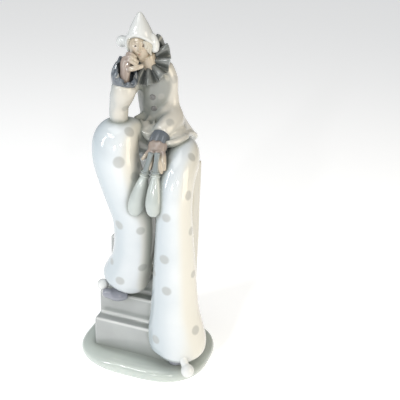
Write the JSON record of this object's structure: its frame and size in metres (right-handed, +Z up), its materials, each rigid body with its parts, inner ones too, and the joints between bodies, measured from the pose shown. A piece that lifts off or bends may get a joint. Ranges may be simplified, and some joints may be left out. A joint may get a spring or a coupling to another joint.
{
  "type": "juggler figurine",
  "caption": "Glazed porcelain figurine of a seated clown juggler with polka-dot trousers, pleated ruff and cone hat, resting on steps over an oval base.",
  "frame": {"origin": "centre of the base's flat underside", "axes": "+Z up, -Y towards the front, where the steps and the face look, and +X towards the figure's left, which is the viewer's right"},
  "size_m": [0.1468, 0.1183, 0.3728],
  "materials": {
    "porcelain": "glazed porcelain in white, warm grey and celadon, glossy"
  },
  "bodies": {
    "root": {"juggler_figurine": "porcelain"}
  },
  "joints": []
}
